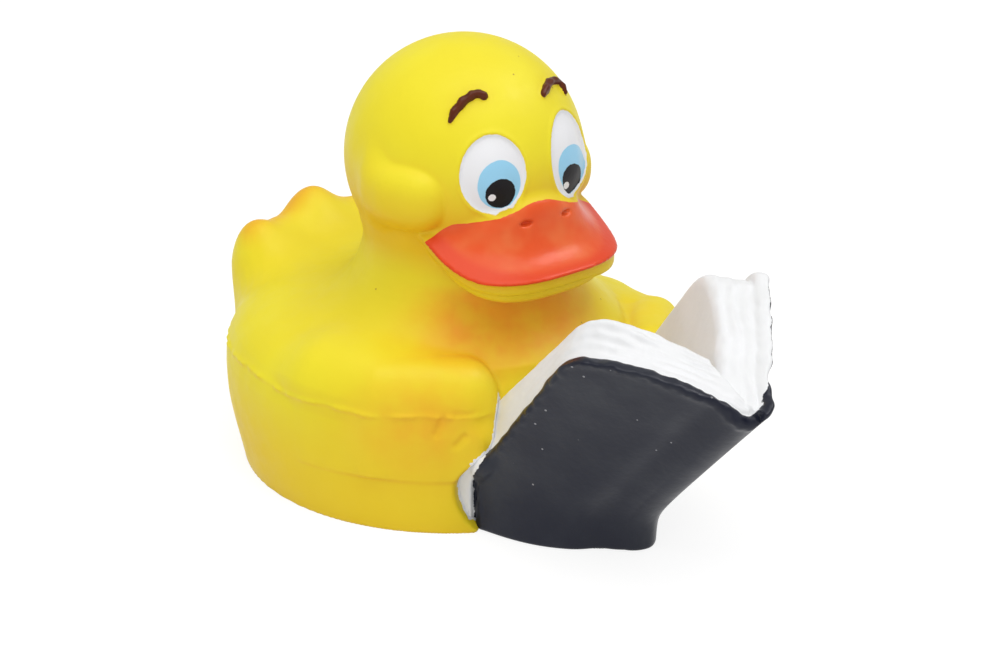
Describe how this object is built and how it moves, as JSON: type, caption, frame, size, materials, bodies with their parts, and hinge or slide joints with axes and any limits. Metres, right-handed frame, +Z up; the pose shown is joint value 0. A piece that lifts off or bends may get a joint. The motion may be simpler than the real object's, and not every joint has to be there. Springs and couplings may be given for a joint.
{
  "type": "rubber duck",
  "caption": "Squat hollow rubber duck sitting with an open book held upright between its wings; a bath toy or desk figure that stands on its flat base.",
  "frame": {"origin": "on the ground, under the middle of the whole length from tail to book", "axes": "+Z up, the duck looks along -Y, its left side is +X"},
  "size_m": [0.0869, 0.133, 0.0815],
  "materials": {
    "painted_rubber": "satin yellow latex, with the bill, eyes, brows and book painted by hand"
  },
  "bodies": {
    "root": {"duck_moulding": "painted_rubber"}
  },
  "joints": []
}
